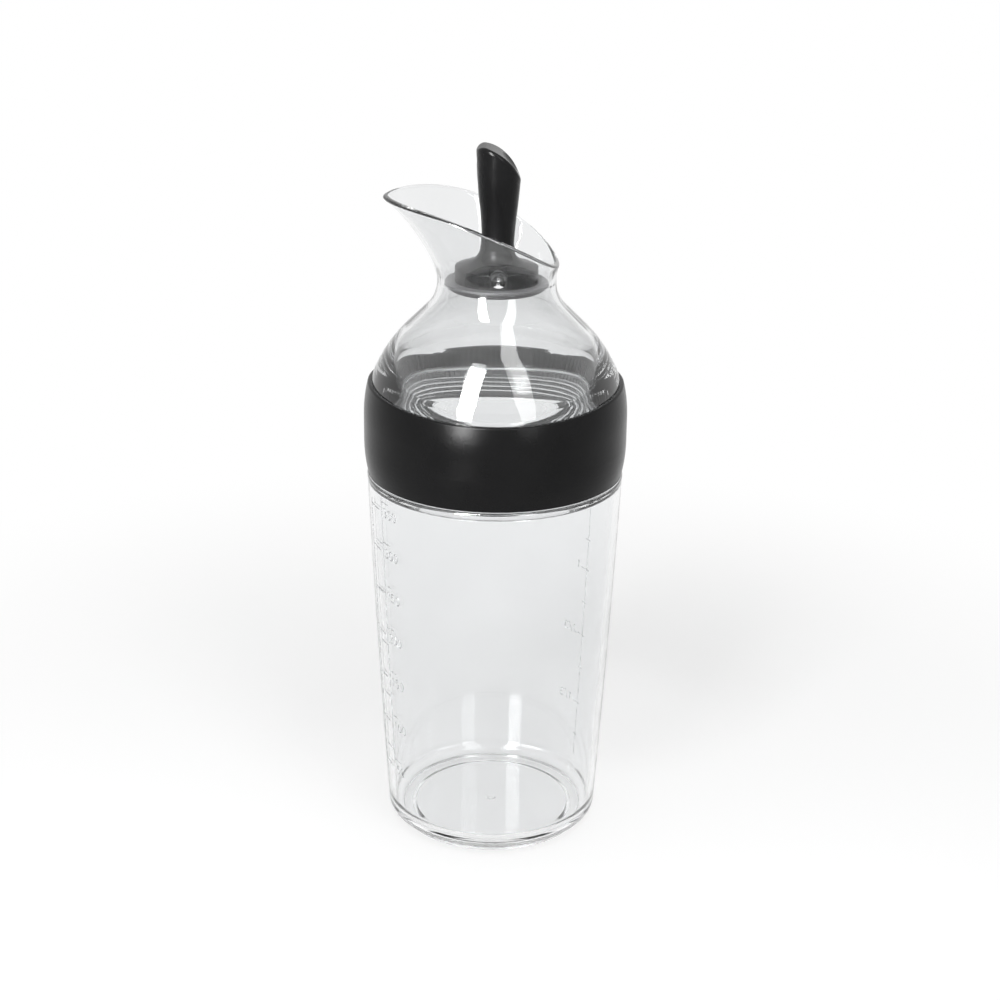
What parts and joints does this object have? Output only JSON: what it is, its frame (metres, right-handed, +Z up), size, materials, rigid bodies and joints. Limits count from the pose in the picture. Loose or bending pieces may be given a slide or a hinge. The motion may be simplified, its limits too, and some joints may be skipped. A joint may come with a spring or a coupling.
{
  "type": "dressing shaker bottle",
  "caption": "Clear tapered shaker bottle with a soft grip collar, a screw-on domed lid with an open pouring spout, and a lever stopper that tilts back to pour.",
  "frame": {"origin": "centre of the foot ring, in the plane that the bottle stands on", "axes": "+Z up along the container's axis, -X towards the spout's tip, Y along the stopper's pins"},
  "size_m": [0.0868, 0.0868, 0.2354],
  "materials": {
    "clear_body": "clear polished plastic",
    "clear_lid": "clear polished plastic",
    "soft_grip": "soft-touch matte black",
    "clear_seal": "translucent silicone",
    "black_lever": "satin black plastic",
    "grey_gasket": "dark grey silicone",
    "dark_plate": "satin dark plastic"
  },
  "bodies": {
    "container": {"container": "clear_body"},
    "seal": {"lid_seal": "clear_seal"},
    "lid": {"lid_shell": "clear_lid", "grip_collar": "soft_grip"},
    "stopper": {"stopper_lever": "black_lever", "stopper_gasket": "grey_gasket", "stopper_plate": "dark_plate"}
  },
  "joints": [
    {"name": "lid_lift", "type": "slide", "parent": "container", "child": "seal", "axis": [0, 0, 1], "range_m": [0, 0.032]},
    {"name": "lid_turn", "type": "hinge", "parent": "seal", "child": "lid", "pos_m": [0, 0, 0.15], "axis": [0, 0, 1], "range_deg": [0, 1800]},
    {"name": "stopper_tilt", "type": "hinge", "parent": "lid", "child": "stopper", "pos_m": [0, 0, 0.196], "axis": [0, 1, 0], "range_deg": [0, 60]}
  ],
  "couplings": [
    {"joint": "lid_lift", "follows": "lid_turn", "m_per_rad": 0.00095493}
  ]
}
